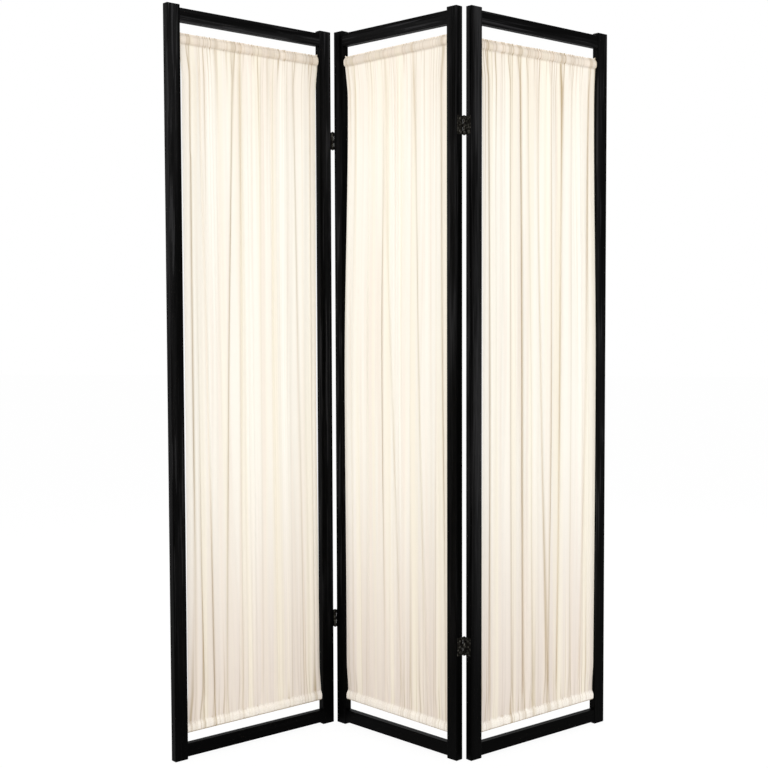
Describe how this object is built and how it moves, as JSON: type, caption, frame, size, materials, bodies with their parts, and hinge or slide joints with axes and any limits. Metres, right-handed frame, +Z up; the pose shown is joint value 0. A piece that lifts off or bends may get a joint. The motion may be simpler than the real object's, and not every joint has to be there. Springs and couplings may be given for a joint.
{
  "type": "folding room divider screen",
  "caption": "Freestanding folding screen: slim black wooden frames hinged edge to edge in a zigzag, each filled by a gathered sheer curtain held on a rod at its top and bottom.",
  "frame": {"origin": "on the floor, at the middle of the standing screen's bounding box", "axes": "+Z up, +X along the screen's width, front towards -Y"},
  "size_m": [1.048, 0.3206, 1.784],
  "materials": {
    "black_wood": "black stained and lacquered, satin, faint grain along each member",
    "rod": "plain round rod, hidden in the curtain's pockets",
    "muslin": "sheer cream muslin, finely gathered",
    "hinge_metal": "dark antique brass",
    "screw_metal": "dark antique brass, cross recess"
  },
  "bodies": {
    "center_panel": {"center_left_stile": "black_wood", "center_right_stile": "black_wood", "center_top_rail": "black_wood", "center_bottom_rail": "black_wood", "center_top_rod": "rod", "center_bottom_rod": "rod", "center_curtain": "muslin", "left_upper_hinge_center_leaf": "hinge_metal", "left_upper_hinge_pin": "hinge_metal", "left_lower_hinge_center_leaf": "hinge_metal", "left_lower_hinge_pin": "hinge_metal", "left_hinge_center_screws": "screw_metal", "right_upper_hinge_center_leaf": "hinge_metal", "right_upper_hinge_pin": "hinge_metal", "right_lower_hinge_center_leaf": "hinge_metal", "right_lower_hinge_pin": "hinge_metal", "right_hinge_center_screws": "screw_metal"},
    "left_panel": {"left_left_stile": "black_wood", "left_right_stile": "black_wood", "left_top_rail": "black_wood", "left_bottom_rail": "black_wood", "left_top_rod": "rod", "left_bottom_rod": "rod", "left_curtain": "muslin", "left_upper_hinge_left_leaf": "hinge_metal", "left_lower_hinge_left_leaf": "hinge_metal", "left_hinge_left_screws": "screw_metal"},
    "right_panel": {"right_left_stile": "black_wood", "right_right_stile": "black_wood", "right_top_rail": "black_wood", "right_bottom_rail": "black_wood", "right_top_rod": "rod", "right_bottom_rod": "rod", "right_curtain": "muslin", "right_upper_hinge_right_leaf": "hinge_metal", "right_lower_hinge_right_leaf": "hinge_metal", "right_hinge_right_screws": "screw_metal"}
  },
  "joints": [
    {"name": "left_fold", "type": "hinge", "parent": "center_panel", "child": "left_panel", "pos_m": [-0.17791, 0.14565, 0.892], "axis": [0, 0, 1], "range_deg": [-86, 94]},
    {"name": "right_fold", "type": "hinge", "parent": "center_panel", "child": "right_panel", "pos_m": [0.17287, -0.14535, 0.892], "axis": [0, 0, 1], "range_deg": [-85, 95]}
  ]
}
